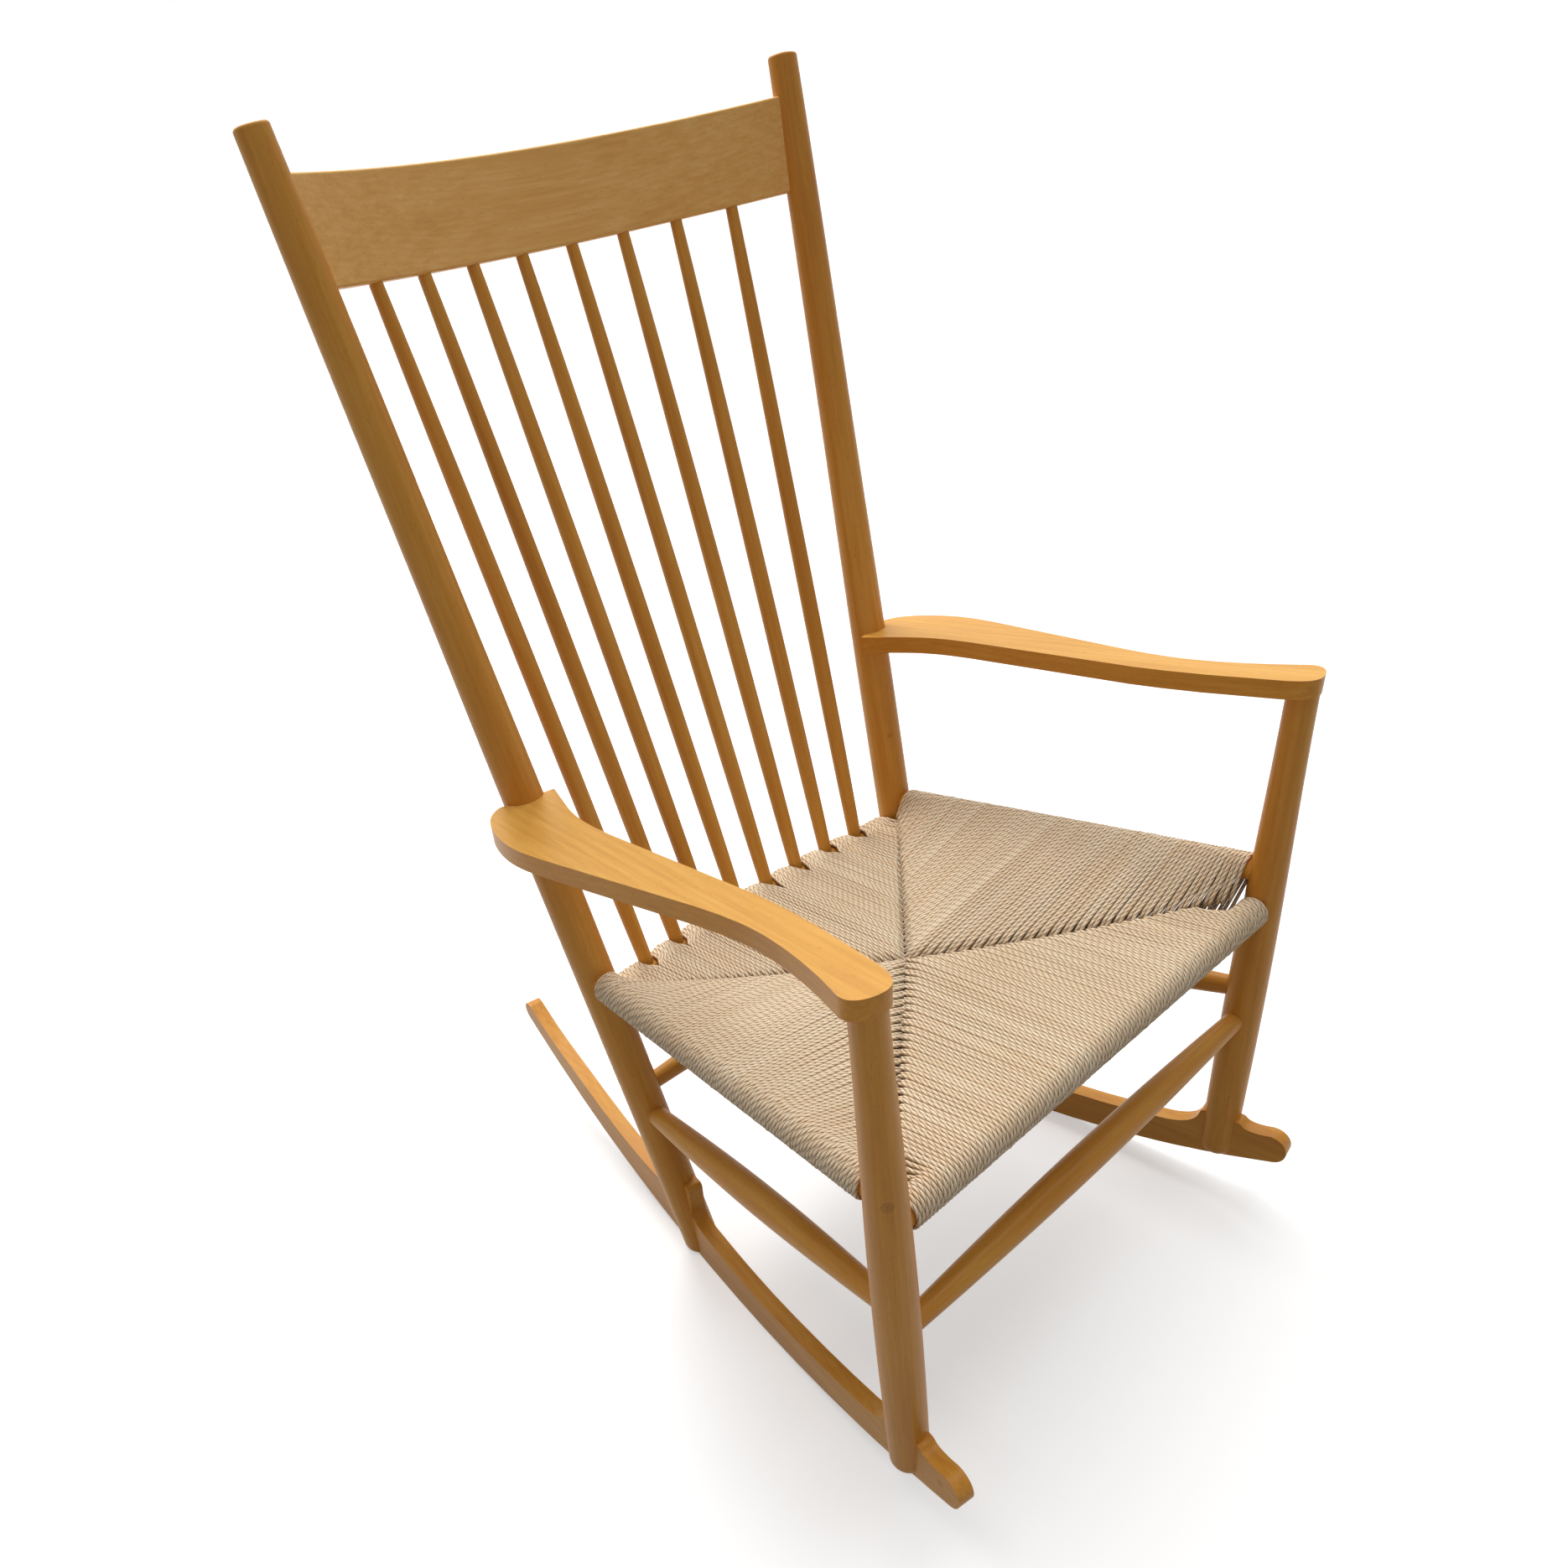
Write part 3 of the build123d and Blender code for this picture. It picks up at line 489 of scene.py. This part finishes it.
def parted(path, x, rail_y):
    """Strands pressed apart by the spindles, and heaped up between them.

    With d the distance from the nearest spindle as a share of half a bay, a strand moves 8 mm
    times (1 - d) away from the spindle and rises by 2.5 mm times sin(pi d / 2), every second one
    0.8 mm more.  Both fade from 5 to 18 mm in front of the rail's axis, and from 10 mm above it
    down to its level.
    """
    nearest = SPINDLES[np.abs(x[:, None] - SPINDLES).argmin(1)]
    away = x - nearest
    outer = np.abs(x) > np.abs(SPINDLES[0])
    bay = np.where(outer, REAR_CLEAR_HALF - np.abs(SPINDLES[0]), np.diff(SPINDLES)[0] / 2)
    share = np.clip(np.abs(away) / bay, 0, 1)
    shift = np.where(away < 0, -1, 1) * 0.0080 * (1 - share)
    height = path[:, :, 2] - REAR_Z
    inward = rail_y[:, None] - path[:, :, 1]
    fade = np.clip((0.018 - inward) / 0.013, 0, 1)
    fade = fade * fade * (3 - 2 * fade) * np.clip(height / 0.010, 0, 1)
    heap = 0.0025 * np.sin(share * math.pi / 2) + 0.0008 * (np.arange(x.size) % 2)
    path[:, :, 0] += shift[:, None] * fade
    path[:, :, 2] += heap[:, None] * fade


def end_panel(name, rail_y, rail_z, half, pitch, corner, sign, bow=0.0):
    """Panel on the front or the rear rail: strands along Y, sign = direction into the seat.

    The rail's axis is at y = rail_y + bow (1 - (x / corner x)^2).  On the front rail the outermost
    strands, up to a share of 0.13 from the corner, hang straight down; the next ones pass over to
    the seam by a share of 0.21.
    """
    count = int(2 * half / pitch)
    x = np.linspace(-half, half, count)
    share = np.clip(1 - np.abs(x) / corner[0], 0, 1)
    seam = seam_at(share, corner)
    axis_y = rail_y + bow * (1 - (x / corner[0]) ** 2)
    foot = np.stack([x, axis_y, np.full(count, rail_z)], -1)
    inward = np.tile([0.0, float(sign), 0.0], (count, 1))
    joined = np.clip((share - 0.13) / 0.08, 0, 1) if sign > 0 else np.ones(count)
    reach = np.maximum(sign * (seam[:, 1] - axis_y) + laced(count), LEAST_REACH)
    reach = OPEN_REACH + (reach - OPEN_REACH) * joined
    rise = (seam[:, 2] - rail_z) * joined
    low = rise - UNDER * np.clip(reach / 0.12, 0.9, 1.0)
    path, lead = loop_path(foot, inward, reach, rise, low, wound(count))
    wander(path, lead, 0, 0.0005)
    if sign < 0:
        parted(path, x, axis_y)
    return strands(name, path, np.tile([1.0, 0.0, 0.0], (count, 1)), tones(count))


def side_panel(name, side):
    """Panel on a side rail: strands along X, from the rail to both seams."""
    mirror = np.array([side, 1.0, 1.0])
    start, end = SIDE_START * mirror, SIDE_END * mirror
    share = np.linspace(*SIDE_SHARES)
    foot = start + (end - start) * share[:, None]
    count = foot.shape[0]
    y = foot[:, 1]
    front = np.clip((y - CORNER_FRONT[1]) / (SEAT_MIDDLE[1] - CORNER_FRONT[1]), 0, 1)
    rear = np.clip((CORNER_REAR[1] - y) / (CORNER_REAR[1] - SEAT_MIDDLE[1]), 0, 1)
    ahead = y < SEAT_MIDDLE[1]
    seam = np.where(ahead[:, None], seam_at(front, CORNER_FRONT), seam_at(rear, CORNER_REAR))
    reach = np.maximum(side * foot[:, 0] - seam[:, 0] + laced(count), LEAST_REACH)
    rise = seam[:, 2] - foot[:, 2]
    inward = np.tile([-float(side), 0.0, 0.0], (count, 1))
    path, lead = loop_path(foot, inward, reach, rise, rise - UNDER, wound(count))
    wander(path, lead, 1, 0.0006)
    lateral = np.tile((end - start) / np.linalg.norm(end - start), (count, 1))
    return strands(name, path, lateral, tones(count))


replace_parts(end_panel("seat_weave_front", FRONT_Y, FRONT_Z, FRONT_HALF, FRONT_PITCH, CORNER_FRONT, 1),
            "seat_cord_front")
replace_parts(end_panel("seat_weave_rear", REAR_Y, REAR_Z, REAR_HALF, REAR_PITCH, CORNER_REAR, -1, REAR_BOW),
            "seat_cord_rear")
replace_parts(side_panel("seat_weave_left", 1), "seat_cord_left")
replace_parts(side_panel("seat_weave_right", -1), "seat_cord_right")


# ---------------------------------------------------------------- floor, light and camera
WHITE = (1.0, 1.0, 1.0, 1.0)
FLOOR_HALF = 30.0
FLOOR_SEEN, FLOOR_GLOW, FLOOR_BOUNCE = 0.78, 0.44, 0.3
AMBIENT = 0.26
SUN_POWER, SUN_ANGLE, SUN_WAY = 2.3, math.radians(75.0), (-0.28, -0.34, -1.0)
CAMERA_PLACE = (-0.7876, -0.7739, 1.1584)
CAMERA_YAW, CAMERA_PITCH, CAMERA_ROLL = 0.72621, 0.63346, -0.07852

corners = [(x * FLOOR_HALF, y * FLOOR_HALF, 0) for x, y in ((-1, -1), (1, -1), (1, 1), (-1, 1))]
floor_mesh = bpy.data.meshes.new("floor")
floor_mesh.from_pydata(corners, [], [(0, 1, 2, 3)])
floor = link(bpy.data.objects.new("floor", floor_mesh))
paper = surface("floor_white")
lifted = paper.node("BsdfPrincipled", Base_Color=(FLOOR_SEEN,) * 3 + (1.0,), Roughness=1.0,
                    Specular_IOR_Level=0.0, Emission_Color=WHITE, Emission_Strength=FLOOR_GLOW)
dim = paper.node("BsdfDiffuse", Color=(FLOOR_BOUNCE,) * 3 + (1.0,))
floor_mesh.materials.append(paper.show_either(paper.seen(), dim, lifted))

studio = Nodes(bpy.data.worlds.new("studio"), "World")
ambient = studio.node("Background", Color=WHITE, Strength=AMBIENT)
backdrop = studio.node("Background", Color=WHITE, Strength=1.0)
bpy.context.scene.world = studio.show_either(studio.seen(), ambient, backdrop)


def softbox(name, place, target, size, power):
    light = bpy.data.lights.new(name, "AREA")
    light.shape = "DISK"
    light.size = size
    light.energy = power
    obj = link(bpy.data.objects.new(name, light))
    obj.location = place
    obj.rotation_euler = (Vector(target) - Vector(place)).to_track_quat("-Z", "Y").to_euler()


sun = bpy.data.lights.new("skylight", "SUN")
sun.energy = SUN_POWER
sun.angle = SUN_ANGLE
sky = link(bpy.data.objects.new("skylight", sun))
sky.rotation_euler = Vector(SUN_WAY).to_track_quat("-Z", "Y").to_euler()
softbox("window", (0.5, 1.9, 2.8), (0.0, -0.1, 0.4), 1.2, 40.0)

camera_data = bpy.data.cameras.new("camera")
camera_data.sensor_width = 36.0
camera_data.lens = 30.03
camera_data.shift_x = 0.0140
camera_data.shift_y = 0.0921
camera_data.clip_end = 100.0
camera = link(bpy.data.objects.new("camera", camera_data))
ahead = Vector((math.sin(CAMERA_YAW) * math.cos(CAMERA_PITCH),
                math.cos(CAMERA_YAW) * math.cos(CAMERA_PITCH), -math.sin(CAMERA_PITCH)))
right = ahead.cross(Vector((0, 0, 1))).normalized()
down = ahead.cross(right)
cosine, sine = math.cos(CAMERA_ROLL), math.sin(CAMERA_ROLL)
right, down = right * cosine - down * sine, right * sine + down * cosine
turn = Matrix((right, -down, -ahead)).transposed().to_4x4()
camera.matrix_world = Matrix.Translation(CAMERA_PLACE) @ turn
scene = bpy.context.scene
scene.camera = camera
scene.view_settings.view_transform = "Standard"
